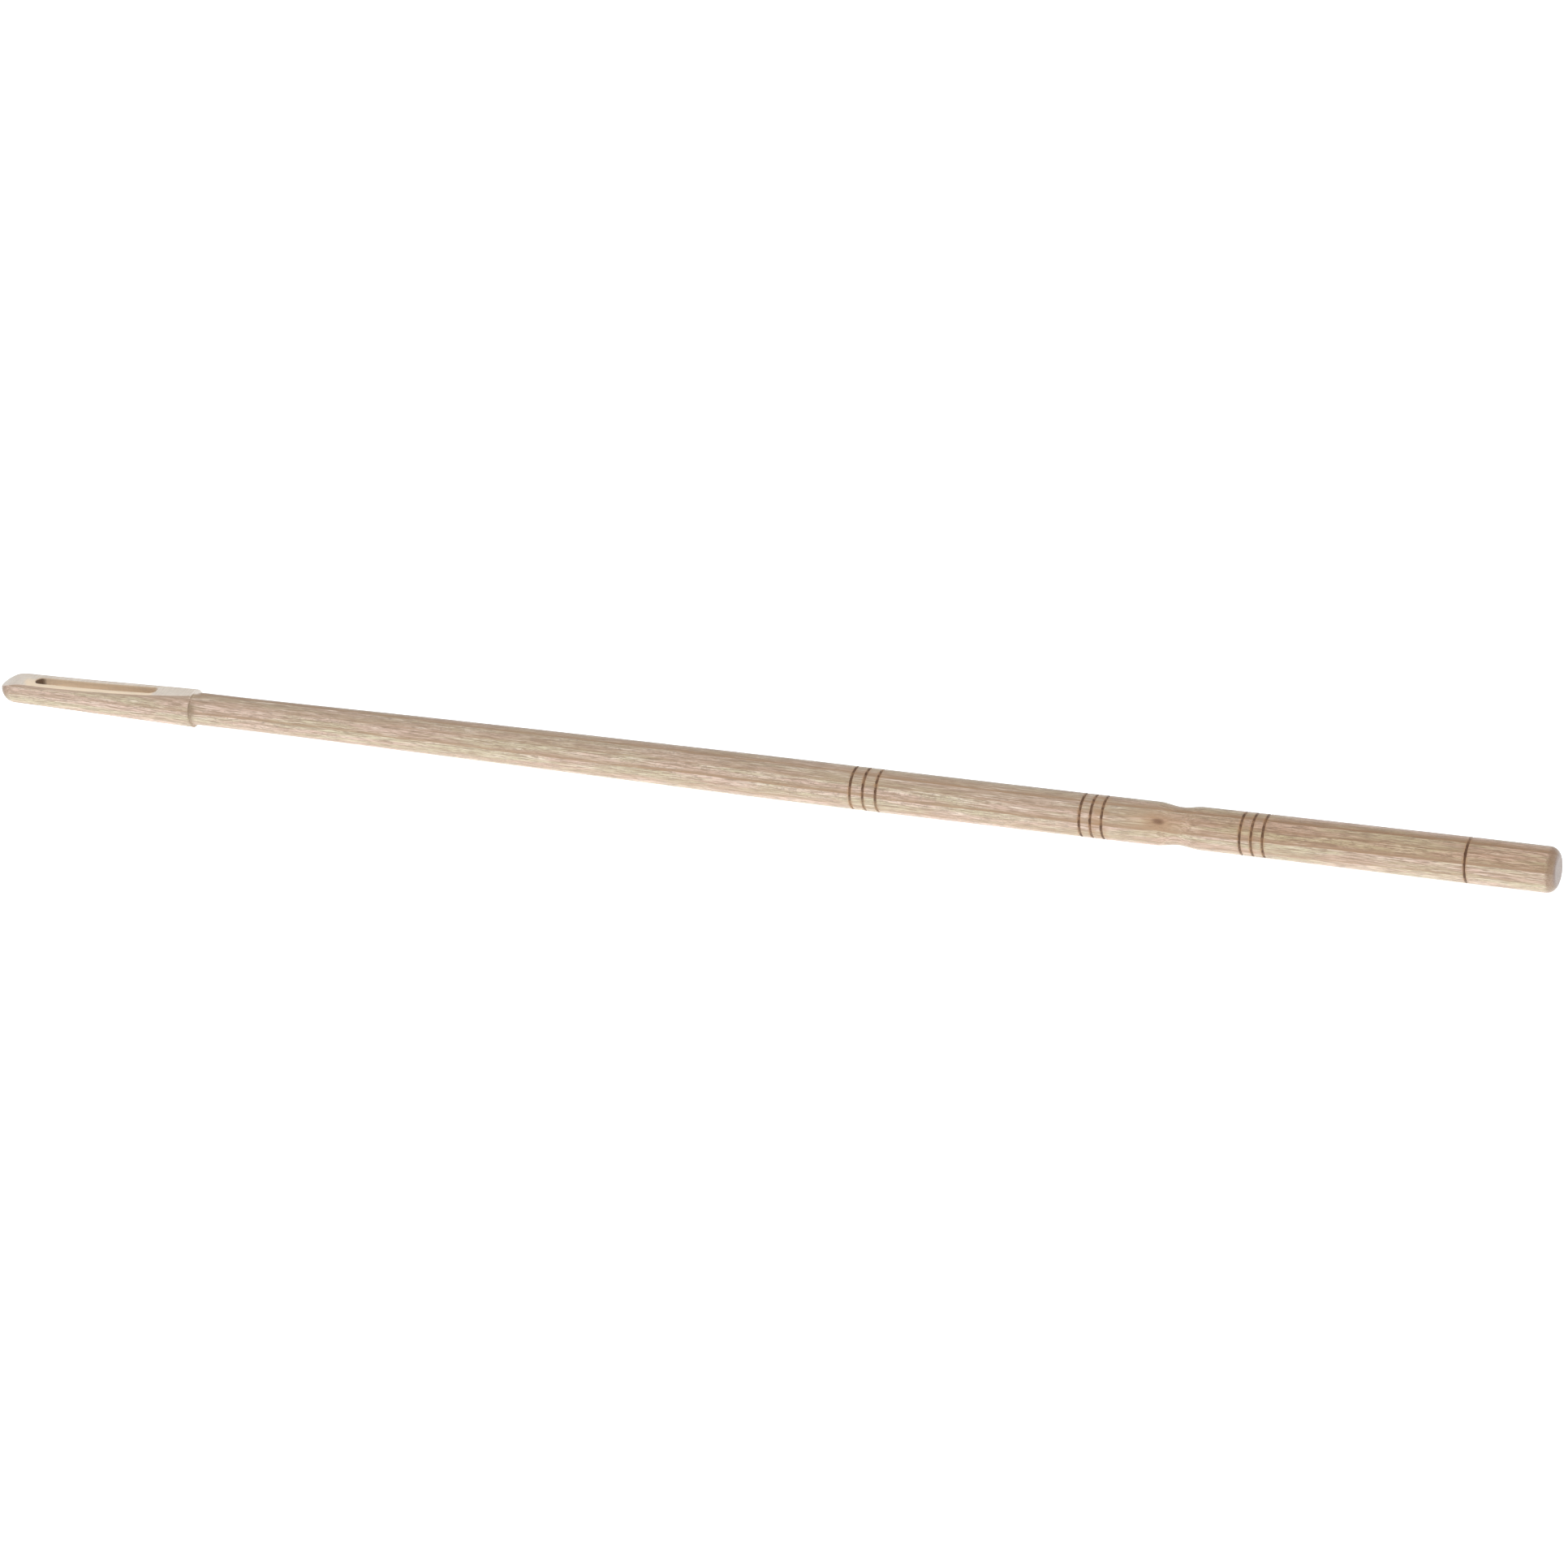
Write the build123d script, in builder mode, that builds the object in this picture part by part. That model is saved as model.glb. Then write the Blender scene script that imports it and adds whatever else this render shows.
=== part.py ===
from build123d import *
import math
import os

# A cleaning rod for a flute, turned from one length of hardwood dowel.
# It lies along X. The origin is the centre of the flat face at the handle
# end, so the rod fills negative X and the eye for the cloth is at its far
# end. The slot of the eye runs through along Z, and the two flats sawn
# beside it face up and down, closing in on each other towards the tip.
# Places along the rod are distances from the handle end, in millimetres.

rod_length = 345.0

# Handle end: a true cylinder from the gauge line to a rounded rim
end_radius = 4.64
end_rounding = 2.2
gauge_line = 18.0

# Handle: a straight taper from the gauge line down to the waist, a shallow cove
handle_radius = 4.38
waist_centre = 78.4
waist_half_length = 4.9
waist_radius = 3.86

# Shaft: a cylinder, then a long swell down to the neck
shaft_radius = 4.44
swell_from = 157.0
swell_upper = (203.0, 4.18)
swell_lower = (247.0, 3.82)
swell_to = 288.0
neck_radius = 3.46

# Head: a slim cone behind a square shoulder, which meets the neck in a small fillet
shoulder = 298.8
shoulder_radius = 4.08
shoulder_rounding = 0.15
shoulder_fillet = 0.4
cone_tip_radius = 3.45
tip_rounding_length = 3.9

# Burnt rings: the middle of each group of three, and the pitch in the group
ring_groups = [(62.25, 2.4), (96.2, 2.35), (145.35, 2.8)]
rings_per_group = 3
ring_radius = 0.28

# Eye: a flat above and one below, slightly hollow, each rounding down over the nose of the tip
flat_height_at_tip = 2.3
flat_hollow_radius = 700.0
flat_length = 60.0
upper_nose = (5.8, 0.6)
lower_nose = (4.2, 1.3)

# Slot of the eye: round ends, and lips rounded where the cloth passes
slot_far_end = rod_length - 8.2
slot_near_end = rod_length - 37.1
slot_width = 2.5
lip_rounding = 0.35

clearance = 10.0


def at(distance, radius):
    """The point of the side outline at a distance from the handle end."""
    return (-distance, radius)


def handle_radius_at(distance):
    """Radius of the straight taper between the gauge line and the waist."""
    waist_edge = waist_centre - waist_half_length
    share = (distance - gauge_line) / (waist_edge - gauge_line)
    return end_radius + share * (handle_radius - end_radius)


def ring_places():
    """Distance from the handle end and rod radius at every burnt ring."""
    places = [(gauge_line, end_radius)]
    for middle, pitch in ring_groups:
        for step in range(rings_per_group):
            distance = middle + (step - (rings_per_group - 1) / 2) * pitch
            on_handle = distance < waist_centre
            places.append((distance, handle_radius_at(distance) if on_handle else shaft_radius))
    return places


def flat_point(from_tip, side):
    """A point of a flat, which rises from the tip in a wide arc."""
    rise = flat_hollow_radius - math.sqrt(flat_hollow_radius**2 - from_tip**2)
    return at(rod_length - from_tip, side * (flat_height_at_tip + rise))


def flat_outline(side, nose):
    """The wood sawn off one side of the eye: side is 1 above and -1 below."""
    nose_length, nose_height = nose
    nose_start = flat_point(nose_length, side)
    run_out = flat_point(flat_length, side)
    flat = ThreePointArc(run_out, flat_point(flat_length / 2, side), nose_start)
    rounding = TangentArc(nose_start, at(rod_length, side * nose_height), tangent=flat % 1)
    Polyline(
        rounding @ 1,
        at(rod_length + clearance, 0),
        at(rod_length + clearance, side * clearance),
        at(rod_length - flat_length, side * clearance),
        run_out,
    )


with BuildPart() as rod:
    # Side outline from the centre of the end face to the tip of the head
    with BuildSketch(Plane.XZ):
        with BuildLine():
            face_rim = at(0, end_radius - end_rounding)
            rim = at(end_rounding, end_radius)
            Line(at(0, 0), face_rim)
            TangentArc(face_rim, rim, tangent=(0, 1))
            end_cylinder = Line(rim, at(gauge_line, end_radius))
            handle = Line(end_cylinder @ 1, at(waist_centre - waist_half_length, handle_radius))
            waist = Spline(
                handle @ 1,
                at(waist_centre, waist_radius),
                at(waist_centre + waist_half_length, shaft_radius),
                tangents=(handle % 1, (-1, 0)),
            )
            shaft = Line(waist @ 1, at(swell_from, shaft_radius))
            swell = Spline(
                shaft @ 1,
                at(*swell_upper),
                at(*swell_lower),
                at(swell_to, neck_radius),
                tangents=((-1, 0), (-1, 0)),
            )
            neck = Line(swell @ 1, at(shoulder - shoulder_fillet, neck_radius))
            fillet_arc = TangentArc(
                neck @ 1,
                at(shoulder, neck_radius + shoulder_fillet),
                tangent=(-1, 0),
            )
            edge = TangentArc(
                fillet_arc @ 1,
                at(shoulder + shoulder_rounding, shoulder_radius),
                tangent=(0, 1),
            )
            cone = Line(edge @ 1, at(rod_length - tip_rounding_length, cone_tip_radius))
            tip_centre = at(rod_length - tip_rounding_length, 0)
            tip = EllipticalCenterArc(tip_centre, tip_rounding_length, cone_tip_radius, 90, arc_size=90)
            Line(tip @ 1, at(0, 0))
        make_face()
    revolve(axis=Axis.X)

    # Burnt rings: a round-bottomed groove each
    for place, radius in ring_places():
        with BuildSketch(Plane.XZ):
            with Locations(at(place, radius)):
                Circle(ring_radius)
        revolve(axis=Axis.X, mode=Mode.SUBTRACT)

    # Flats beside the eye
    for side, nose in [(1, upper_nose), (-1, lower_nose)]:
        with BuildSketch(Plane.XZ):
            with BuildLine():
                flat_outline(side, nose)
            make_face()
        extrude(amount=clearance, both=True, mode=Mode.SUBTRACT)

    # Slot of the eye
    with BuildSketch(Plane.XY):
        with Locations(at((slot_far_end + slot_near_end) / 2, 0)):
            SlotOverall(slot_far_end - slot_near_end, slot_width)
    extrude(amount=clearance, both=True, mode=Mode.SUBTRACT)
    lips = rod.edges(Select.LAST).filter_by(Axis.Z, reverse=True)
    fillet(lips, radius=lip_rounding)

rod.part.label = "cleaning_rod"

os.makedirs("parts", exist_ok=True)
export_step(rod.part, "parts/cleaning_rod.step")
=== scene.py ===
import math

import bpy
import numpy as np
from mathutils import Matrix, Vector


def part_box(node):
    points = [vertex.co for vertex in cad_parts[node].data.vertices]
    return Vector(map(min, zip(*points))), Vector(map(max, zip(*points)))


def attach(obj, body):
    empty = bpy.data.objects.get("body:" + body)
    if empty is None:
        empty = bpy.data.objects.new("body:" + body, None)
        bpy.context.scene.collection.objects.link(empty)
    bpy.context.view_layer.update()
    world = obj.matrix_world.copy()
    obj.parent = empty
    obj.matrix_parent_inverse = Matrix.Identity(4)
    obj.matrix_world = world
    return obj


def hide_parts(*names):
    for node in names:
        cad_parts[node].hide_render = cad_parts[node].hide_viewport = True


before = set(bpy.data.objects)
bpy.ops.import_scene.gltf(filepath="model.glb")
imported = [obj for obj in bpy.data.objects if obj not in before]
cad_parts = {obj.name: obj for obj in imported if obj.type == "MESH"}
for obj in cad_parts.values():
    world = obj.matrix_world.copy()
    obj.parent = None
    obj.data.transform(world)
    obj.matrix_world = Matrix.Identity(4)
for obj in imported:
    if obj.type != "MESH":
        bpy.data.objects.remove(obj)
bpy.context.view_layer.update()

# A turned wooden cleaning rod for a flute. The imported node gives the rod's
# place, length and largest radius. This script gives it a fine mesh, a solid
# wood material, a pale floor, soft light and a camera. Lengths in the part
# section are millimetres, and distances run from the handle end, as x does.

MM = 0.001
low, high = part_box("cleaning_rod")

# ---------------------------------------------------------------- dimensions

rod_length = (high.x - low.x) / MM
end_radius = high.z / MM
ovality = high.y / high.z

end_rounding = 2.2
gauge_line = 18.0

handle_radius = 4.38
waist_centre = 78.4
waist_half_length = 4.9
waist_radius = 3.86

shaft_radius = 4.44
neck_radius = 3.46
swell_places = (157.0, 203.0, 247.0, 288.0)
swell_radii = (shaft_radius, 4.18, 3.82, neck_radius)
swell_slopes = (0.0, -0.0072, -0.0089, 0.0)

shoulder = 298.8
shoulder_radius = 4.08
shoulder_rounding = 0.15
shoulder_fillet = 0.4
cone_tip_radius = 3.45
tip_length = 3.9

ring_groups = [(62.25, 2.4), (96.2, 2.35), (145.35, 2.8)]
rings_per_group = 3
ring_radius = 0.28

flat_height_at_tip = 2.3
flat_hollow_radius = 700.0
flat_run_out = 47.5
upper_nose = (5.8, 0.6)
lower_nose = (4.2, 1.3)

slot_far_end = 8.2
slot_near_end = 37.1
slot_half_width = 1.25
lip_rounding = 0.35

# The dried wood isn't quite straight: one slow bend each way between these distances
bow_from = 60.0
bow_length = 262.0
bow_height = 0.16

# The direction across the rod that is uppermost as the photo sees it
crown_direction = (0.0, 0.5, 0.866)

columns_per_quarter = 32
row_spacing = 1.3
flat_corner_softness = 0.1
sharp_angle = 38.0


def ring_places():
    """Distance from the handle end of every burnt ring."""
    places = [gauge_line]
    middle_ring = (rings_per_group - 1) / 2
    for middle, pitch in ring_groups:
        places += [middle + (i - middle_ring) * pitch for i in range(rings_per_group)]
    return places


# ------------------------------------------------------------ the turned form


def swell_radius(distance):
    """Radius of the long swell, a smooth curve through its four places."""
    place = np.clip(distance, swell_places[0], swell_places[-1])
    i = np.clip(np.searchsorted(swell_places, place) - 1, 0, len(swell_places) - 2)
    x, y, slope = (np.array(values) for values in (swell_places, swell_radii, swell_slopes))
    span = x[i + 1] - x[i]
    t = (place - x[i]) / span
    start = (1 + 2 * t) * (1 - t) ** 2 * y[i] + t * (1 - t) ** 2 * span * slope[i]
    end = t * t * (3 - 2 * t) * y[i + 1] + t * t * (t - 1) * span * slope[i + 1]
    return start + end


def body_radius(distance):
    """Radius between the end's rounding and the shoulder, with the waist and the grooves."""
    waist_start = waist_centre - waist_half_length
    handle = np.interp(distance, [gauge_line, waist_start], [end_radius, handle_radius])
    radius = np.where(distance < waist_centre, handle, swell_radius(distance))
    across = np.clip((distance - waist_centre) / waist_half_length, -1, 1)
    radius -= (radius - waist_radius) * (0.5 + 0.5 * np.cos(np.pi * across))
    for place in ring_places():
        radius -= np.sqrt(np.clip(ring_radius**2 - (distance - place) ** 2, 0, None))
    return radius


def body_rows():
    """Distances of the mesh rows between the end's rounding and the shoulder's fillet, closer at details."""
    last = shoulder - shoulder_fillet
    rows = [np.arange(end_rounding, last, row_spacing)]
    rows.append(np.linspace(waist_centre - waist_half_length, waist_centre + waist_half_length, 33))
    groove = ring_radius * np.sin(np.radians(np.arange(-90, 91, 15)))
    edges = np.array([-0.6, -0.35, 0.35, 0.6])
    for place in ring_places():
        plain = rows[0]
        rows[0] = plain[abs(plain - place) > 0.7]
        rows += [place + groove, place + edges]
    return np.unique(np.round(np.concatenate(rows + [[last]]), 4))


def outline():
    """Distance and radius of every mesh row, from the middle of the end face to the tip."""
    quarter = np.radians(np.linspace(0, 90, 13))
    face_radius = end_radius - end_rounding
    face = [(0.0, r) for r in np.linspace(0, face_radius, 8)[:-1]]
    rim = end_rounding * np.array([1 - np.cos(quarter), np.sin(quarter)]).T + [0, face_radius]
    rows = body_rows()
    body = np.array([rows, body_radius(rows)]).T[1:]
    fillet_arc = quarter[3::3]
    fillet = np.array([np.sin(fillet_arc), 1 - np.cos(fillet_arc)]).T * shoulder_fillet
    fillet += [shoulder - shoulder_fillet, neck_radius]
    edge = np.array([1 - np.cos(fillet_arc), np.sin(fillet_arc)]).T * shoulder_rounding
    edge += [shoulder, shoulder_radius - shoulder_rounding]
    cone_end = rod_length - tip_length
    along = np.linspace(shoulder + shoulder_rounding, cone_end, 120)[1:]
    cone_radius = np.interp(along, [shoulder, cone_end], [shoulder_radius, cone_tip_radius])
    cone = np.array([along, cone_radius]).T
    around = np.radians(np.linspace(0, 90, 31)[1:])
    tip = np.array([cone_end + tip_length * np.sin(around), cone_tip_radius * np.cos(around)]).T
    return np.concatenate([face, rim, body, fillet, edge, cone, tip])


def hollow_height(from_tip):
    """Height of a flat above the axis, rising from the tip in a wide arc."""
    return flat_height_at_tip + flat_hollow_radius - np.sqrt(flat_hollow_radius**2 - from_tip**2)


def flat_height(from_tip, nose):
    """Height of a flat above the axis, with the arc that curves down over the nose."""
    nose_length, nose_height = nose
    start = float(hollow_height(nose_length))
    lean = math.asin(nose_length / flat_hollow_radius)
    chord = math.hypot(nose_length, start - nose_height)
    turn = math.atan2(start - nose_height, nose_length) - lean
    bend = chord / (2 * math.sin(turn))
    centre = (nose_length + bend * math.sin(lean), start - bend * math.cos(lean))
    over = centre[1] + np.sqrt(np.clip(bend**2 - (from_tip - centre[0]) ** 2, 0, None))
    return np.where(from_tip < nose_length, over, hollow_height(from_tip))


def section(distance, radius):
    """Points of one cross-section, with columns kept on the edges of the flats."""
    from_tip = rod_length - distance
    share = np.linspace(0, 1, columns_per_quarter, endpoint=False)
    relax = min(max((from_tip - flat_run_out) / 12, 0), 1)
    points = []
    for quarter, nose in enumerate((upper_nose, upper_nose, lower_nose, lower_nose)):
        height = float(flat_height(np.array(from_tip), nose)) if from_tip < flat_run_out else 99.0
        edge = min(math.degrees(math.asin(min(height / max(radius, 1e-6), 1))), 78.0)
        edge += (45 - edge) * relax
        angle = np.interp(share if quarter % 2 == 0 else 1 - share, [0, 0.5, 1], [0, edge, 90])
        angle = np.radians(angle)
        flat = height / np.maximum(np.sin(angle), 1e-6)
        soft = flat_corner_softness
        gap = np.clip(soft - abs(flat - radius), 0, None) / soft
        reach = np.minimum(radius, flat) - gap * gap * soft / 4 * (radius > soft)
        side = 1 if quarter in (0, 3) else -1
        above = 1 if quarter < 2 else -1
        points.append(np.array([side * reach * np.cos(angle), above * reach * np.sin(angle)]).T)
    return np.concatenate(points)


def rod_mesh():
    """The turned rod with its flats, as one closed mesh in metres."""
    rows = outline()
    vertices = [(0.0, 0.0, 0.0)]
    for distance, radius in rows[1:-1]:
        vertices += [(-distance, y * ovality, z) for y, z in section(distance, radius)]
    vertices.append((-rod_length, 0.0, 0.0))
    columns = 4 * columns_per_quarter
    last = len(vertices) - 1
    faces = [(0, 1 + i, 1 + (i + 1) % columns) for i in range(columns)]
    for row in range(len(rows) - 3):
        start = 1 + row * columns
        for i in range(columns):
            j = (i + 1) % columns
            faces.append((start + i, start + columns + i, start + columns + j, start + j))
    start = last - columns
    faces += [(start + i, last, start + (i + 1) % columns) for i in range(columns)]
    mesh = bpy.data.meshes.new("cleaning_rod_wood")
    mesh.from_pydata([Vector(v) * MM for v in vertices], [], faces)
    mesh.update()
    return mesh


# -------------------------------------------------------------- the eye's slot


def slot_outline():
    """Points round the slot's middle line, as distance from the tip, with the outward direction at each."""
    near = slot_near_end - slot_half_width
    far = slot_far_end + slot_half_width
    points = []
    for centre, turn in ((near, -90), (far, 90)):
        for angle in np.radians(turn + np.linspace(0, 180, 25)):
            points.append((centre, math.cos(angle), math.sin(angle)))
        other = far if centre == near else near
        side = -math.sin(math.radians(turn))
        for share in np.linspace(0, 1, 42)[1:-1]:
            points.append((centre + (other - centre) * share, 0.0, side))
    return points


def slot_cutter():
    """The slot's hollow: a straight wall, and lips that open in an arc where it meets each flat."""
    arc = np.radians(np.arange(0, 76, 12.5))
    rise = [-lip_rounding * (1 - math.sin(t)) for t in arc] + [0.6]
    flare = [lip_rounding * (1 - math.cos(t)) for t in arc]
    flare.append(flare[-1] + 0.1)
    levels = [(-1, r, f) for r, f in zip(reversed(rise), reversed(flare))]
    levels += [(1, r, f) for r, f in zip(rise, flare)]
    ring = slot_outline()
    vertices = []
    for side, up, out in levels:
        for along, nx, ny in ring:
            reach = slot_half_width + out
            from_tip = along + nx * reach
            height = float(hollow_height(from_tip)) + up
            vertices.append(Vector((from_tip - rod_length, ny * reach, side * height)) * MM)
    count = len(ring)
    faces = [tuple(range(count))[::-1], tuple(range(len(vertices) - count, len(vertices)))]
    for level in range(len(levels) - 1):
        start = level * count
        for i in range(count):
            j = (i + 1) % count
            faces.append((start + i, start + j, start + count + j, start + count + i))
    mesh = bpy.data.meshes.new("slot_cutter")
    mesh.from_pydata(vertices, [], faces)
    mesh.update()
    return mesh


def cut_slot(rod):
    """Takes the slot's hollow out of the rod's mesh."""
    cutter = bpy.data.objects.new("slot_cutter", slot_cutter())
    bpy.context.scene.collection.objects.link(cutter)
    cut = rod.modifiers.new("slot", "BOOLEAN")
    cut.operation = "DIFFERENCE"
    cut.solver = "EXACT"
    cut.object = cutter
    bpy.context.view_layer.update()
    evaluated = rod.evaluated_get(bpy.context.evaluated_depsgraph_get())
    whole = rod.data
    rod.data = bpy.data.meshes.new_from_object(evaluated)
    rod.modifiers.clear()
    bpy.data.objects.remove(cutter)
    bpy.data.meshes.remove(whole)


# ------------------------------------------------- where each finish and each painted light or shade is, as masks


def ramp(value, start, end):
    """0 below start, 1 above end, smooth between. start may be the larger."""
    t = np.clip((value - start) / (end - start), 0, 1)
    return t * t * (3 - 2 * t)


def finish_and_painted_light_masks(x, y, z, nx):
    """How much each point has of each finish and of each painted light or shade, and its gap from a burnt
    ring, from its place and normal.
    """
    distance = -x
    from_tip = rod_length - distance
    crown = crown_direction[1] * y + crown_direction[2] * z
    ring_gap = np.min([abs(distance - ring) for ring in ring_places()], axis=0)

    # The two flats and the slot between them
    height = np.where(z > 0, flat_height(from_tip, upper_nose), flat_height(from_tip, lower_nose))
    under_flat = height - abs(z)
    on_flat = ramp(abs(under_flat), 0.12, 0.03) * (from_tip < flat_run_out + 0.3) * (abs(y) < 3.0)
    middle = np.clip(from_tip, slot_far_end + slot_half_width, slot_near_end - slot_half_width)
    from_slot = np.hypot(from_tip - middle, y) - slot_half_width
    in_slot = (from_slot < lip_rounding + 0.05) * (abs(z) < height + 0.1)
    sawn = np.maximum(on_flat, in_slot)

    # The far wall has its colour right from the flat, the near one only below its pale lip, which has a
    # painted highlight
    wall_start = np.where(y > 0, 0.0, 0.05)
    wall_full = np.where(y > 0, 0.1, 0.33)
    # Painted highlight along the slot's near lip, where its rounded edge catches the light
    lip_painted_highlight = sawn * ramp(from_slot, 2.8, 1.8) * ramp(under_flat, 0.5, 0.15) * ramp(y, 0.8, -0.6)
    lip_painted_highlight = lip_painted_highlight * ramp(from_tip, slot_near_end + 0.3, slot_near_end - 0.8)
    # Painted shadow on the slot's far end wall
    slot_end_painted_shadow = in_slot * ramp(from_tip, slot_far_end + 2.1, slot_far_end + 0.8)
    slot_end_painted_shadow = slot_end_painted_shadow * ramp(under_flat, 0.10, 0.33)
    flat_edge = ramp(under_flat, 0.75, 0.12) * (1 - on_flat) * (1 - in_slot)
    flat_edge = flat_edge * (from_tip < 46.0) * (from_tip > 3.0)

    # The shoulder: painted shade in its corner at the front, and the top of its step, where the flat meets
    # it, painted lighter as if lit
    in_corner = ramp(distance, shoulder - 0.8, shoulder - 0.3)
    in_corner = in_corner * (distance < shoulder + shoulder_rounding * 0.8)
    on_step = abs(distance - shoulder) < 0.45

    near_end = (distance < 4.0) | (from_tip < 6.0)
    return {
        "ring_gap": np.minimum(ring_gap, 2.0),
        "sawn": sawn,
        # painted light on the top of the shoulder's step face, which faces away from the lamps
        "step_top_painted_light": on_step * ramp(crown, 2.7, 3.2) * ramp(z, 1.0, 1.6),
        "slot_wall": in_slot * ramp(under_flat, wall_start, wall_full),
        "lip_painted_highlight": lip_painted_highlight,
        "flat_edge": flat_edge,
        # painted shade in the shoulder's corner, on the side that faces the front
        "shoulder_painted_shade": in_corner * ramp(crown, 1.7, 0.5) * (0.35 + 0.65 * ramp(z, -2.0, 1.0)),
        "slot_end_painted_shadow": slot_end_painted_shadow,
        "end_grain": ramp(abs(nx), 0.12, 0.5) * near_end * (1 - 0.85 * on_flat),
        "end_face": ramp(nx, 0.84, 0.97) * (distance < end_rounding),
    }


def paint_masks(mesh):
    """Stores the finish and painted light and shade masks on the mesh, for the material to read."""
    count = len(mesh.vertices)
    place = np.zeros(count * 3)
    normal = np.zeros(count * 3)
    mesh.vertices.foreach_get("co", place)
    mesh.vertices.foreach_get("normal", normal)
    x, y, z = place.reshape(-1, 3).T / MM
    nx = normal.reshape(-1, 3)[:, 0]
    for name, values in finish_and_painted_light_masks(x, y, z, nx).items():
        mask = mesh.attributes.new(name, "FLOAT", "POINT")
        mask.data.foreach_set("value", values.astype(np.float32))


def bow(mesh):
    """Bends the finished mesh up and down by the small bow."""
    for vertex in mesh.vertices:
        share = min(max((-vertex.co.x / MM - bow_from) / bow_length, 0), 1)
        vertex.co.z -= bow_height * math.sin(2 * math.pi * share) * MM


# ------------------------------------------------------------------ wood material

# Growth layers lie round a pith well outside the rod. All in millimetres of the rod's frame.
pith_place = (0.0, 15.0, 26.0)
pith_gap = 31.65
layer_thickness = 2.13
late_wood_curve = [(0.0, 0.25), (0.04, 0.0), (0.35, 0.08), (0.72, 0.40), (0.90, 1.0), (1.0, 0.85)]

# The layers sweep up and down along the rod, one wave in this length, with a crest at this distance
sweep_length = 296.0
sweep_crest = 128.0
sweep_height = 0.42

knot_place = (-81.8, -3.60, 2.42)
knot_stretch = (0.5, 1.0, 1.0)

# Distance from the handle end of the middle of the overheated stretch
overheated_place = 94.6

# Linear colours of the plain wood, which drifts between the two
pink_tint = (0.785, 0.575, 0.480)
green_tint = (0.678, 0.611, 0.421)

# Metres
relief_height = 0.00004


class Nodes:
    """Short ways to add the shader nodes that the wood is made of."""

    def __init__(self, tree):
        self.tree = tree

    def add(self, kind, inputs=(), **settings):
        """A new node, with its inputs by name or number, each a value or a socket, and its settings."""
        node = self.tree.nodes.new("ShaderNode" + kind)
        for name, value in settings.items():
            setattr(node, name, value)
        for name, value in dict(inputs).items():
            if isinstance(value, bpy.types.NodeSocket):
                self.tree.links.new(value, node.inputs[name])
            else:
                node.inputs[name].default_value = value
        return node

    def math(self, operation, *values):
        """The output of a Math node."""
        return self.add("Math", dict(enumerate(values)), operation=operation).outputs[0]

    def scaled(self, value, factor, plus):
        """value * factor + plus."""
        return self.math("MULTIPLY_ADD", value, factor, plus)

    def vector(self, operation, *values):
        """The output of a Vector Math node."""
        node = self.add("VectorMath", dict(enumerate(values)), operation=operation)
        return node.outputs["Value" if operation in ("DOT_PRODUCT", "LENGTH") else "Vector"]

    def noise(self, place, stretch, detail, roughness=0.5, output="Fac"):
        """Noise of about one blob per millimetre, stretched by the three factors."""
        scaled = self.vector("MULTIPLY", place, stretch)
        inputs = {"Vector": scaled, "Scale": 1.0, "Detail": detail, "Roughness": roughness}
        return self.add("TexNoise", inputs).outputs[output]

    def wander(self, place, stretch, detail, reach):
        """An offset across the rod that changes slowly, at most half of reach each way."""
        noise = self.noise(place, stretch, detail, output="Color")
        centred = self.vector("SUBTRACT", noise, (0.5, 0.5, 0.5))
        return self.vector("MULTIPLY", centred, (0.0, reach, reach))

    def steps(self, value, low, high):
        """0 where value is below low and 1 above high, smooth between. low may be the larger."""
        inputs = {0: value, 1: low, 2: high, 3: 0.0, 4: 1.0}
        if low > high:
            inputs.update({1: high, 2: low, 3: 1.0, 4: 0.0})
        return self.add("MapRange", inputs, interpolation_type="SMOOTHSTEP").outputs[0]

    def mix(self, share, first, second, blend="MIX"):
        """Two colours mixed by a share, where either may be a plain colour or a socket."""
        node = self.add("Mix", data_type="RGBA", blend_type=blend)
        sockets = (node.inputs[0], node.inputs[6], node.inputs[7])
        for socket, value in zip(sockets, (share, first, second)):
            if isinstance(value, bpy.types.NodeSocket):
                self.tree.links.new(value, socket)
            else:
                socket.default_value = value if isinstance(value, float) else (*value, 1.0)
        return node.outputs[2]

    def lay_over(self, colour, mask, strength, shade, blend="MIX"):
        """The colour, with a shade laid over it where the mask is, at a strength of up to 1: a stain, or
        painted light or shade.
        """
        return self.mix(self.math("MULTIPLY", mask, strength), colour, shade, blend)

    def curve(self, value, stops):
        """A grey ramp through (place, value) stops."""
        node = self.add("ValToRGB", {0: value})
        elements = node.color_ramp.elements
        while len(elements) < len(stops):
            elements.new(0.5)
        for element, (place, level) in zip(elements, stops):
            element.position = place
            element.color = (level, level, level, 1.0)
        return node.outputs[0]

    def mask(self, name):
        """A mask that paint_masks stored on the mesh."""
        return self.add("Attribute", attribute_name=name).outputs["Fac"]


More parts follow.
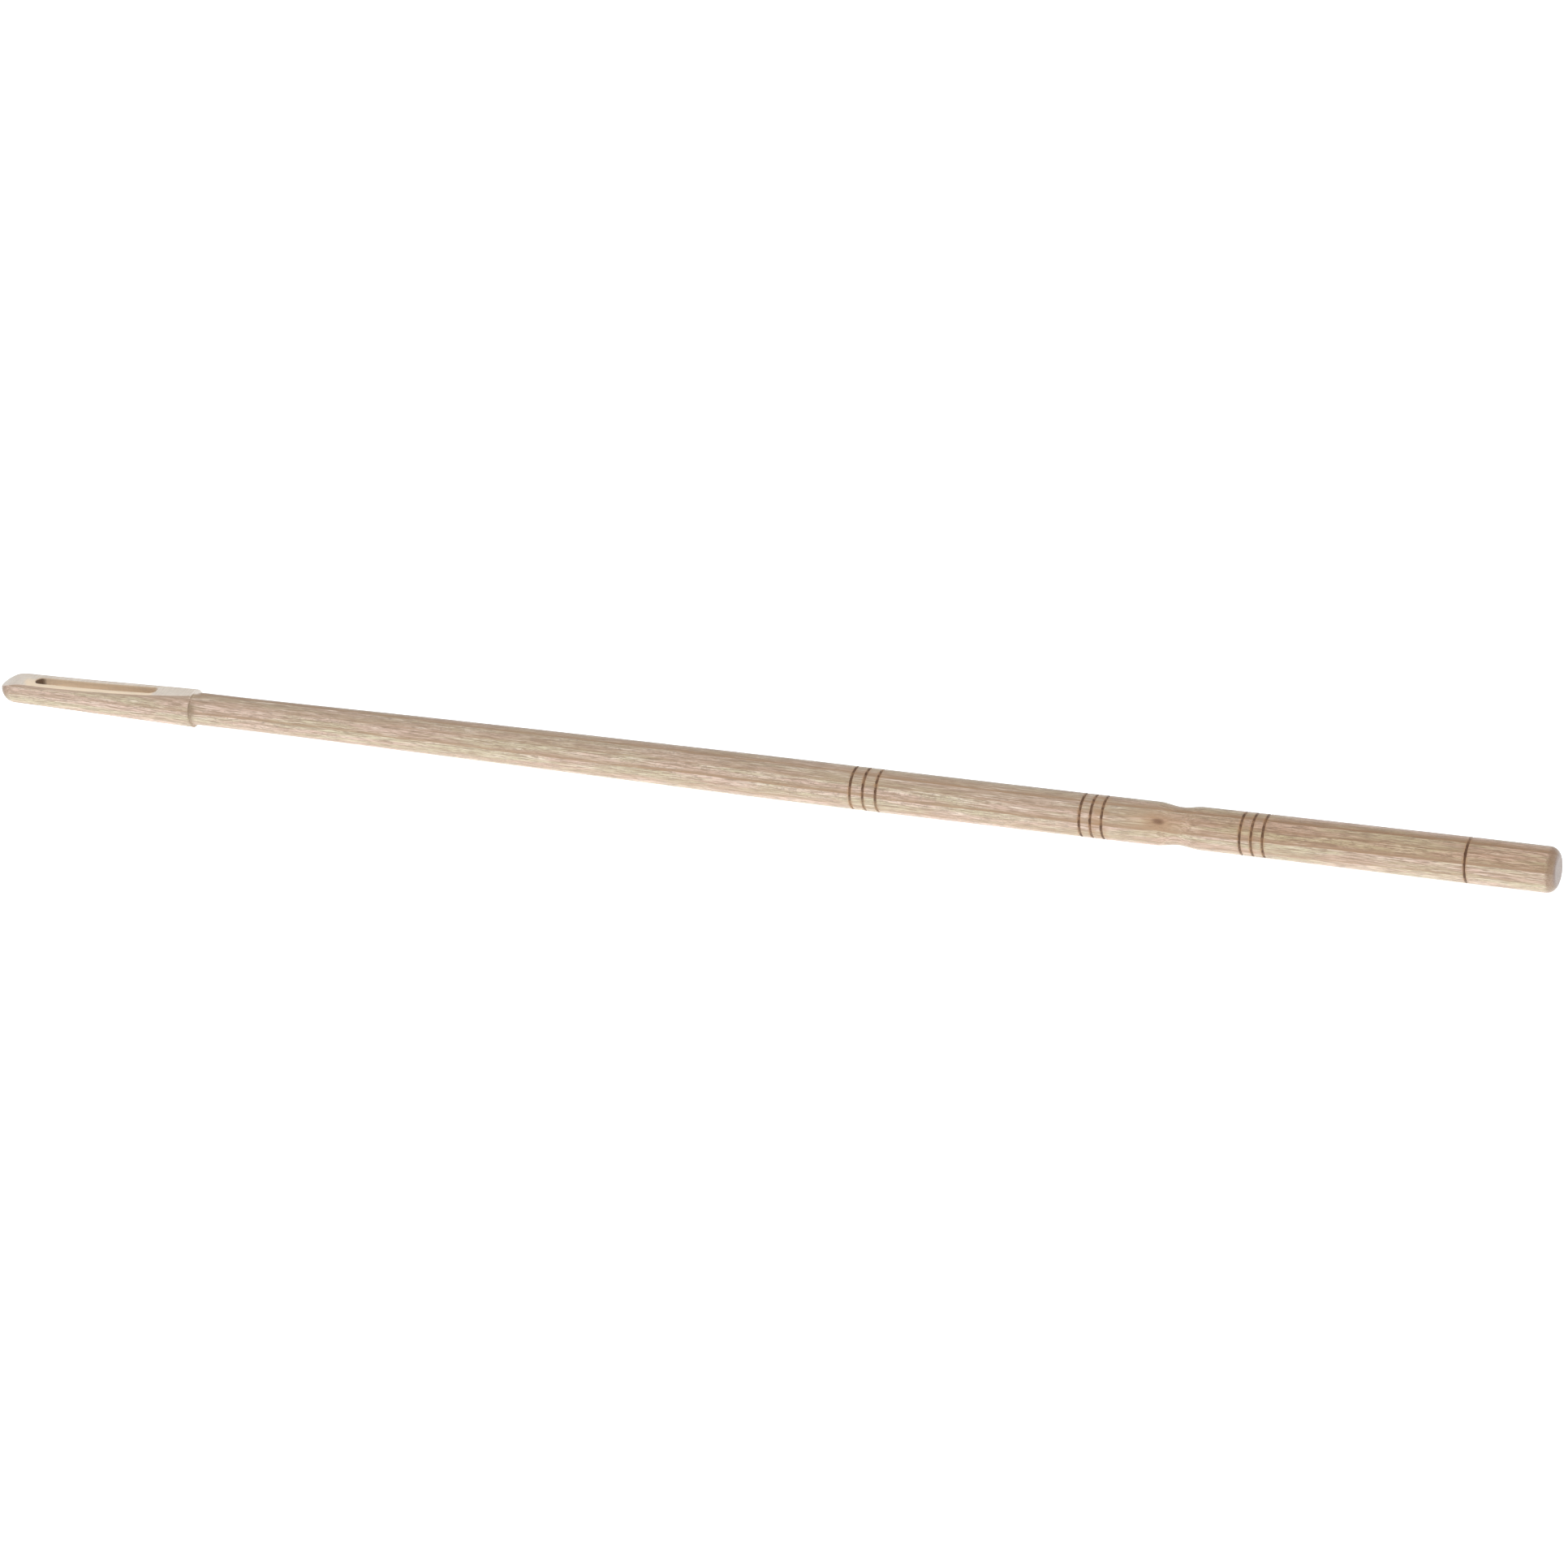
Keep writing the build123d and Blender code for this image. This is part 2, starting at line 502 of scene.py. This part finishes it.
class Grain:
    """The wood's growth layers, fibres, pores and ray flecks, worked out at every point of the solid."""

    def __init__(self, n, place, along):
        bent = n.vector("ADD", place, n.wander(place, (0.012, 0.05, 0.05), 1.0, 0.9))
        bent = n.vector("ADD", bent, n.wander(place, (0.07, 0.5, 0.5), 2.0, 0.45))

        # One small pin knot beside the waist, which the layers bend round
        knot = n.vector("MULTIPLY", n.vector("SUBTRACT", place, knot_place), knot_stretch)
        self.knot_gap = n.vector("LENGTH", knot)
        knot_pull = n.math("MULTIPLY", n.steps(self.knot_gap, 3.2, 0.0), 0.5)

        # Depth through the layers: the gap from the pith, in a slow sweep along the rod
        across = n.vector("MULTIPLY", n.vector("SUBTRACT", bent, pith_place), (0.0, 1.0, 1.0))
        per_mm = 2 * math.pi / sweep_length
        sweep = n.math("COSINE", n.scaled(along, per_mm, per_mm * sweep_crest))
        depth = n.scaled(sweep, -sweep_height, n.vector("LENGTH", across))
        self.depth = n.math("ADD", n.math("SUBTRACT", depth, pith_gap), knot_pull)

        # Late wood is the dark part of each layer, stronger in every second one and towards the handle
        turn = n.math("DIVIDE", self.depth, layer_thickness)
        late = n.curve(n.math("FRACT", turn), late_wood_curve)
        second = n.scaled(n.math("COSINE", n.math("MULTIPLY", turn, math.pi)), 0.28, 0.72)
        fade = n.steps(n.noise(place, (0.02, 0.25, 0.25), 1.0), 0.3, 0.6)
        late = n.math("MULTIPLY", late, n.scaled(fade, 0.25, 0.75))
        late = n.math("MULTIPLY", late, second)
        late = n.math("MULTIPLY", late, n.scaled(n.steps(along, -230.0, -150.0), 0.38, 0.80))
        self.late = n.math("MULTIPLY", late, n.scaled(n.steps(along, -315.0, -290.0), 0.55, 0.45))
        self.heart = n.math("MULTIPLY", n.steps(self.depth, -1.5, -3.5), n.steps(along, -60.0, -110.0))

        # Fibres and pores run with the grain, ray flecks lie across it
        self.streak = n.noise(bent, (0.05, 1.6, 1.6), 2.0, 0.6)
        self.fibre = n.noise(bent, (0.14, 4.4, 4.4), 2.0, 0.6)
        self.hair = n.noise(bent, (0.4, 9.0, 9.0), 2.0, 0.6)
        self.pore = n.steps(n.noise(bent, (0.35, 7.0, 7.0), 1.0), 0.62, 0.72)
        patch = n.steps(n.noise(place, (0.03, 0.3, 0.3), 1.0), 0.40, 0.60)
        fleck = n.steps(n.noise(bent, (1.3, 2.6, 2.6), 2.0, 0.7), 0.52, 0.68)
        self.fleck = n.math("MULTIPLY", fleck, patch)
        self.cloud = n.noise(place, (0.02, 0.2, 0.2), 2.0)
        self.tint = n.noise(place, (0.05, 0.6, 0.6), 2.0)


def bare_wood(n, grain):
    """The colour of the turned wood, before use and fire."""
    colour = n.mix(n.steps(grain.tint, 0.40, 0.60), pink_tint, green_tint)
    colour = n.lay_over(colour, grain.heart, 0.62, (0.470, 0.350, 0.240))
    colour = n.mix(grain.late, colour, (0.400, 0.255, 0.150))
    colour = n.lay_over(colour, n.steps(grain.streak, 0.48, 0.72), 0.31, (0.455, 0.322, 0.225))
    colour = n.lay_over(colour, n.steps(grain.streak, 0.46, 0.26), 0.20, (0.840, 0.695, 0.575))
    colour = n.mix(n.steps(grain.fibre, 0.50, 0.66), colour, (0.400, 0.280, 0.195))
    colour = n.lay_over(colour, n.steps(grain.fibre, 0.48, 0.30), 0.80, (0.900, 0.775, 0.655))
    colour = n.lay_over(colour, n.steps(grain.hair, 0.47, 0.63), 0.90, (0.370, 0.255, 0.175))
    colour = n.lay_over(colour, grain.fleck, 0.72, (0.390, 0.290, 0.220))
    colour = n.lay_over(colour, grain.pore, 0.60, (0.320, 0.215, 0.145))
    colour = n.lay_over(colour, n.steps(grain.cloud, 0.40, 0.70), 0.14, (0.540, 0.400, 0.285))
    return n.lay_over(colour, grain.late, 0.62, (0.400, 0.250, 0.145))


def wear(n, grain, held, colour):
    """The handle is a little darker and warmer from use, most of all in its middle layers."""
    deep = n.scaled(n.steps(grain.depth, -5.6, -4.0), 0.60, 0.20)
    worn = n.math("ADD", n.math("MULTIPLY", n.steps(grain.depth, 0.1, -0.8), deep), 0.20)
    return n.lay_over(colour, held, worn, (0.842, 0.762, 0.668), "MULTIPLY")


def pin_knot(n, grain, colour):
    """The knot's dark heart, in a brown halo and a wide faint glow."""
    heart = n.steps(n.math("ADD", grain.knot_gap, n.math("MULTIPLY", grain.fibre, 0.5)), 1.15, 0.50)
    halo = n.steps(n.math("ADD", grain.knot_gap, grain.fibre), 2.8, 0.9)
    glow = n.steps(n.scaled(grain.streak, 3.0, grain.knot_gap), 6.5, 2.0)
    colour = n.lay_over(colour, glow, 0.48, (0.540, 0.345, 0.205))
    colour = n.lay_over(colour, halo, 0.60, (0.440, 0.255, 0.140))
    return n.lay_over(colour, heart, 0.80, (0.200, 0.095, 0.045))


def sawn_eye(n, up, saw_mark, colour):
    """Sawn flats are fresher and greyer. The slot's near lip has a painted highlight, the top of the
    shoulder's step is painted lighter, the slot's wall is painted lighter towards the bottom as if lit from
    below, and its far end is painted in shadow.
    """
    fresh = n.mix(n.steps(saw_mark, 0.35, 0.65), (0.960, 0.875, 0.775), (0.860, 0.775, 0.680))
    # Painted light: the slot's wall is lighter towards the bottom, as if lit from below through the slot
    wall = n.mix(n.steps(up, 2.6, 0.6), (0.620, 0.460, 0.305), (0.900, 0.730, 0.550))
    colour = n.lay_over(colour, n.mask("sawn"), 0.75, fresh)
    # Painted light on the top of the shoulder's step, which would otherwise lie in shade
    colour = n.lay_over(colour, n.mask("step_top_painted_light"), 0.92, (0.980, 0.900, 0.810))
    colour = n.lay_over(colour, n.mask("flat_edge"), 0.80, (0.430, 0.310, 0.225))
    # Painted highlight on the slot's near lip
    colour = n.lay_over(colour, n.mask("lip_painted_highlight"), 0.95, (1.000, 0.815, 0.600))
    colour = n.lay_over(colour, n.mask("slot_wall"), 0.78, wall)
    # Painted shadow at the slot's far end
    return n.lay_over(colour, n.mask("slot_end_painted_shadow"), 0.94, (0.130, 0.070, 0.034))


def end_grain(n, grain, place, colour):
    """End grain is darker where it is rounded, and on the end face it also shows the layers."""
    open_pore = n.steps(n.noise(place, (3.5, 3.5, 3.5), 2.0), 0.45, 0.70)
    rounded = n.mix(open_pore, (0.340, 0.215, 0.140), (0.230, 0.135, 0.080))
    face = n.mix(open_pore, (0.318, 0.216, 0.172), (0.240, 0.156, 0.122))
    face = n.lay_over(face, grain.late, 0.40, (0.225, 0.140, 0.105))
    colour = n.lay_over(colour, n.mask("end_grain"), 0.72, rounded)
    return n.lay_over(colour, n.mask("end_face"), 0.90, face)


def burnt_rings(n, place, along, colour):
    """Rings charred in the groove, scorched beside it and uneven round the rod. Also gives the char."""
    waver = n.noise(place, (0.6, 1.1, 1.1), 2.0)
    edge = n.math("ADD", n.mask("ring_gap"), n.scaled(waver, 0.50, -0.25))
    patchy = n.scaled(n.steps(waver, 0.40, 0.62), 0.55, 0.15)
    scorch = n.math("MULTIPLY", n.steps(edge, 0.85, 0.20), patchy)

    # One group was held in the heat too long, and is brown between its rings
    overheated = n.steps(n.math("ABSOLUTE", n.math("ADD", along, overheated_place)), 2.8, 1.2)
    overheated = n.math("MULTIPLY", overheated, n.steps(waver, 0.38, 0.60))
    scorch = n.math("MAXIMUM", scorch, n.math("MULTIPLY", overheated, 0.42))

    # The gauge line is dark all round but on top, and the group nearest the eye is faint below
    char = n.steps(edge, 0.33, 0.14)
    gauge = n.steps(along, -gauge_line - 2.0, -gauge_line - 1.0)
    crown = n.vector("DOT_PRODUCT", place, crown_direction)
    top_fade = n.math("MULTIPLY", n.steps(crown, 2.4, 3.8), gauge)
    low_fade = n.math("MULTIPLY", n.steps(crown, -1.6, -3.4), n.steps(along, -120.0, -135.0))
    strength = n.math("MAXIMUM", n.scaled(n.steps(waver, 0.62, 0.40), 0.30, 0.62), gauge)
    kept = n.scaled(n.math("MAXIMUM", top_fade, low_fade), -0.5, 1.0)
    strength = n.math("MULTIPLY", strength, kept)

    colour = n.mix(scorch, colour, (0.440, 0.235, 0.105))
    return n.lay_over(colour, char, strength, (0.130, 0.055, 0.018)), char


def surface_relief(n, grain, place, saw_mark):
    """Raised fibres, open pores, faint turning marks round the rod, and saw marks on the flats."""
    sawn = n.mask("sawn")
    turning = n.noise(place, (4.5, 0.12, 0.12), 1.0)
    turned = n.math("MULTIPLY", n.math("SUBTRACT", 1.0, sawn), 0.35)
    relief = n.math("MULTIPLY", grain.fibre, 0.9)
    relief = n.math("ADD", relief, n.math("MULTIPLY", grain.pore, -0.8))
    relief = n.math("ADD", relief, n.math("MULTIPLY", grain.streak, 0.6))
    relief = n.math("ADD", relief, n.math("MULTIPLY", turning, turned))
    relief = n.math("ADD", relief, n.math("MULTIPLY", saw_mark, n.math("MULTIPLY", sawn, 1.2)))
    bump = n.add("Bump", {"Height": relief, "Strength": 1.0, "Distance": relief_height})
    return bump.outputs["Normal"]


def wood_material():
    """Unfinished pale hardwood, with its grain, wear, knot, sawn eye, end grain and burnt rings, and painted
    light and shade at the eye and the shoulder.
    """
    material = bpy.data.materials.new("pale_turned_wood")
    material.use_nodes = True
    tree = material.node_tree
    shader = tree.nodes["Principled BSDF"]
    n = Nodes(tree)

    place = n.vector("MULTIPLY", n.add("TexCoord").outputs["Object"], (1 / MM, 1 / MM, 1 / MM))
    axes = n.add("SeparateXYZ", {0: place}).outputs
    along = axes["X"]
    grain = Grain(n, place, along)
    held = n.steps(along, -100.0, -62.0)
    saw_mark = n.noise(place, (3.0, 0.25, 0.25), 1.0)

    colour = bare_wood(n, grain)
    colour = wear(n, grain, held, colour)
    colour = pin_knot(n, grain, colour)
    colour = sawn_eye(n, axes["Z"], saw_mark, colour)
    colour = end_grain(n, grain, place, colour)
    # Painted shade in the shoulder's corner, on the side that faces the front
    colour = n.lay_over(colour, n.mask("shoulder_painted_shade"), 0.72, (0.290, 0.200, 0.125))
    colour, char = burnt_rings(n, place, along, colour)
    tree.links.new(colour, shader.inputs["Base Color"])

    roughness = n.scaled(grain.fibre, 0.20, 0.44)
    roughness = n.scaled(n.mask("sawn"), 0.14, roughness)
    roughness = n.scaled(held, -0.07, roughness)
    roughness = n.scaled(char, 0.12, roughness)
    tree.links.new(roughness, shader.inputs["Roughness"])

    tree.links.new(surface_relief(n, grain, place, saw_mark), shader.inputs["Normal"])
    shader.inputs["Specular IOR Level"].default_value = 0.60
    shader.inputs["Sheen Weight"].default_value = 0.8
    shader.inputs["Sheen Roughness"].default_value = 0.30
    return material


# ------------------------------------------------------------------- the rod


def make_rod():
    """The rod as one finished piece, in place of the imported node."""
    rod = bpy.data.objects.new("turned_rod", rod_mesh())
    bpy.context.scene.collection.objects.link(rod)
    cut_slot(rod)
    rod.data.shade_smooth()
    rod.data.set_sharp_from_angle(angle=math.radians(sharp_angle))
    paint_masks(rod.data)
    bow(rod.data)
    rod.data.materials.clear()
    rod.data.materials.append(wood_material())
    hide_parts("cleaning_rod")
    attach(rod, "root")


# ------------------------------------------------------------------- the studio

# Lengths here are metres
rod_middle = Vector(((low.x + high.x) / 2, 0.0, 0.0))
floor_half = 4.0
lamp_distance = 1.6

floor_glow = 0.76
world_strength = 0.47

# The camera: where it looks beside the rod's middle, its direction and roll in degrees, distance and lens
view_offset = Vector((0.0073, 0.00186, -0.00236))
view_azimuth = 23.9
view_elevation = 27.83
view_roll = -4.89
view_distance = 1.4
view_lens = 156.34


def floor_material():
    """A matt off-white that also gives off a little cool light, as a light table does."""
    material = bpy.data.materials.new("pale_floor")
    material.use_nodes = True
    shader = material.node_tree.nodes["Principled BSDF"]
    shader.inputs["Base Color"].default_value = (0.90, 0.90, 0.90, 1.0)
    shader.inputs["Roughness"].default_value = 0.9
    shader.inputs["Specular IOR Level"].default_value = 0.0
    shader.inputs["Emission Color"].default_value = (0.93, 1.0, 1.03, 1.0)
    shader.inputs["Emission Strength"].default_value = floor_glow
    return material


def make_floor():
    """A wide pale floor that the rod lies on."""
    signs = ((-1, -1), (1, -1), (1, 1), (-1, 1))
    corners = [(rod_middle.x + floor_half * i, floor_half * j, low.z) for i, j in signs]
    mesh = bpy.data.meshes.new("floor")
    mesh.from_pydata(corners, [], [(0, 1, 2, 3)])
    mesh.materials.append(floor_material())
    floor = bpy.data.objects.new("floor", mesh)
    bpy.context.scene.collection.objects.link(floor)


def add_softbox(name, direction, size, power, colour):
    """A square lamp that looks at the middle of the rod from a direction."""
    away = Vector(direction).normalized()
    lamp = bpy.data.lights.new(name, "AREA")
    lamp.shape = "SQUARE"
    lamp.size = size
    lamp.energy = power
    lamp.color = colour
    box = bpy.data.objects.new(name, lamp)
    box.location = rod_middle + away * lamp_distance
    box.rotation_euler = away.to_track_quat("Z", "Y").to_euler()
    bpy.context.scene.collection.objects.link(box)


def light_scene():
    """Even white surroundings, and large soft lamps in front and above."""
    world = bpy.data.worlds.new("studio")
    world.use_nodes = True
    background = world.node_tree.nodes["Background"]
    background.inputs["Color"].default_value = (1.0, 1.0, 1.0, 1.0)
    background.inputs["Strength"].default_value = world_strength
    bpy.context.scene.world = world
    add_softbox("front", (-0.2, -1.0, 0.35), 0.7, 3.4, (1.0, 0.99, 0.975))
    add_softbox("above", (0.1, -0.1, 1.0), 1.2, 10.6, (0.98, 0.99, 1.0))
    bpy.context.scene.view_settings.view_transform = "Standard"


def aim_camera(target, azimuth, elevation, roll, distance, lens):
    """A camera that looks at target from a direction, rolled about its line of sight. Angles in degrees."""
    azimuth, elevation, roll = (math.radians(v) for v in (azimuth, elevation, roll))
    level = Vector((math.cos(azimuth), math.sin(azimuth), 0.0))
    back = Vector((0.0, 0.0, math.sin(elevation)))
    back += Vector((math.sin(azimuth), -math.cos(azimuth), 0.0)) * math.cos(elevation)
    right = level * math.cos(roll) + back.cross(level) * math.sin(roll)
    turn = Matrix((right, back.cross(right), back)).transposed()
    data = bpy.data.cameras.new("camera")
    data.lens = lens
    data.sensor_width = 36.0
    data.clip_start = 0.01
    camera = bpy.data.objects.new("camera", data)
    camera.matrix_world = Matrix.Translation(Vector(target) + back * distance) @ turn.to_4x4()
    bpy.context.scene.collection.objects.link(camera)
    bpy.context.scene.camera = camera


make_rod()
make_floor()
light_scene()
aim_camera(rod_middle + view_offset, view_azimuth, view_elevation, view_roll, view_distance, view_lens)
